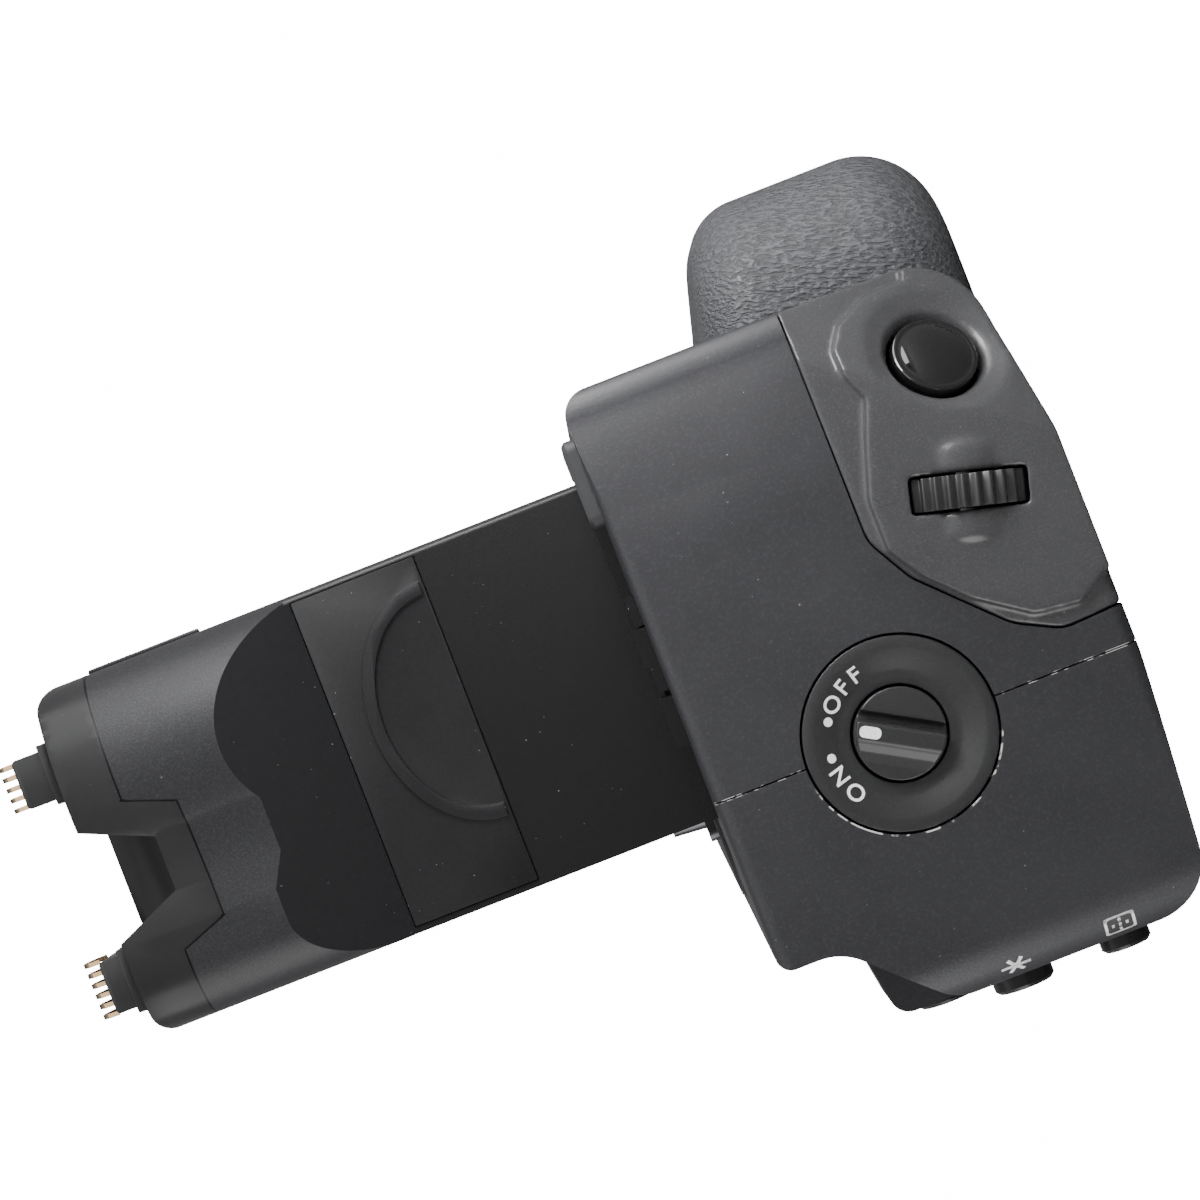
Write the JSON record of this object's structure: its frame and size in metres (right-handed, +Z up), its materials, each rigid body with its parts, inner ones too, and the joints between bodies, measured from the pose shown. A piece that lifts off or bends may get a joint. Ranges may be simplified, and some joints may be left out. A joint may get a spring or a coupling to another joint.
{
  "type": "camera battery grip",
  "caption": "Vertical battery grip for a camera: shells with a battery column, turning power switch and dial, buttons, camera screw and a sliding battery magazine.",
  "frame": {"origin": "centre of the tripod socket's mouth, on the base", "axes": "+X to the controls end, +Y to the lens side, +Z up along the battery column"},
  "size_m": [0.1523, 0.0895, 0.1153],
  "materials": {
    "shell_plastic": "fine grained charcoal",
    "housing_plastic": "satin charcoal",
    "grip_rubber": "wrinkled grey rubber",
    "column_plastic": "satin dark",
    "cover_plastic": "semi-gloss dark",
    "block_plastic": "satin black",
    "contact_gold": "gold plated",
    "control_plastic": "satin black",
    "button_plastic": "gloss black",
    "dial_plastic": "satin black",
    "steel": "plain steel",
    "plate_metal": "black painted metal",
    "inner_plastic": "black moulded plastic",
    "switch_plastic": "dark grey plastic",
    "circuit_board": "green board",
    "lock_plastic": "satin black"
  },
  "bodies": {
    "grip": {"front_shell": "shell_plastic", "back_shell": "shell_plastic", "front_grip": "grip_rubber", "back_pad": "grip_rubber", "release_housing": "housing_plastic", "release_frame": "inner_plastic", "shutter_switch": "switch_plastic", "switch_plate": "control_plastic", "rotary_switch": "switch_plastic", "button_board": "circuit_board", "start_hump": "shell_plastic", "start_switch": "switch_plastic", "magazine_sleeve": "inner_plastic", "chamber_contacts": "contact_gold", "screw_washer": "steel", "seat_plate": "plate_metal", "seat_pad": "grip_rubber", "locating_peg": "steel", "base_plate": "plate_metal", "tripod_bush": "steel", "sleeve_screws": "steel", "main_board": "circuit_board", "column_body": "column_plastic", "column_panel": "column_plastic", "column_foot": "column_plastic", "end_cover": "cover_plastic", "front_contact_block": "block_plastic", "back_contact_block": "block_plastic", "front_contact_wires": "contact_gold", "back_contact_wires": "contact_gold"},
    "shutter_release": {"shutter_button": "button_plastic"},
    "dial": {"main_dial": "dial_plastic", "dial_shaft": "steel"},
    "power_switch": {"power_knob": "control_plastic"},
    "exposure_lock": {"exposure_lock_button": "button_plastic"},
    "focus_point": {"focus_point_button": "button_plastic"},
    "focus_start": {"start_button": "button_plastic"},
    "mounting_screw": {"camera_screw": "steel", "thumbwheel": "dial_plastic"},
    "magazine": {"magazine_tray": "inner_plastic", "magazine_door": "shell_plastic", "bay_contacts": "contact_gold"},
    "magazine_lock": {"lock_key": "lock_plastic", "lock_cam": "lock_plastic"}
  },
  "joints": [
    {"name": "shutter_press", "type": "slide", "parent": "grip", "child": "shutter_release", "axis": [-0.8239, -0.4522, 0.3416], "range_m": [0, 0.001], "stiffness_N_per_m": 500, "springref_m": -0.0006},
    {"name": "dial_turn", "type": "hinge", "parent": "grip", "child": "dial", "pos_m": [0.0773, 0.0068, 0.0105], "axis": [0, 0.9673, -0.2538], "continuous": true},
    {"name": "power_turn", "type": "hinge", "parent": "grip", "child": "power_switch", "pos_m": [0.082, -0.0136, 0.0258], "axis": [1, 0, 0], "range_deg": [0, 30]},
    {"name": "exposure_lock_press", "type": "slide", "parent": "grip", "child": "exposure_lock", "axis": [0, 1, 0], "range_m": [0, 0.0007], "stiffness_N_per_m": 400, "springref_m": -0.0006},
    {"name": "focus_point_press", "type": "slide", "parent": "grip", "child": "focus_point", "axis": [0, 1, 0], "range_m": [0, 0.0007], "stiffness_N_per_m": 400, "springref_m": -0.0006},
    {"name": "focus_start_press", "type": "slide", "parent": "grip", "child": "focus_start", "axis": [0, 1, 0], "range_m": [0, 0.0007], "stiffness_N_per_m": 400, "springref_m": -0.0006},
    {"name": "screw_turn", "type": "hinge", "parent": "grip", "child": "mounting_screw", "pos_m": [0, 0, 0.04], "axis": [0, 0, 1], "continuous": true},
    {"name": "magazine_slide", "type": "slide", "parent": "grip", "child": "magazine", "axis": [-1, 0, 0], "range_m": [0, 0.126]},
    {"name": "lock_turn", "type": "hinge", "parent": "magazine", "child": "magazine_lock", "pos_m": [-0.066, -0.0085, 0.0209], "axis": [1, 0, 0], "range_deg": [0, 90]}
  ]
}
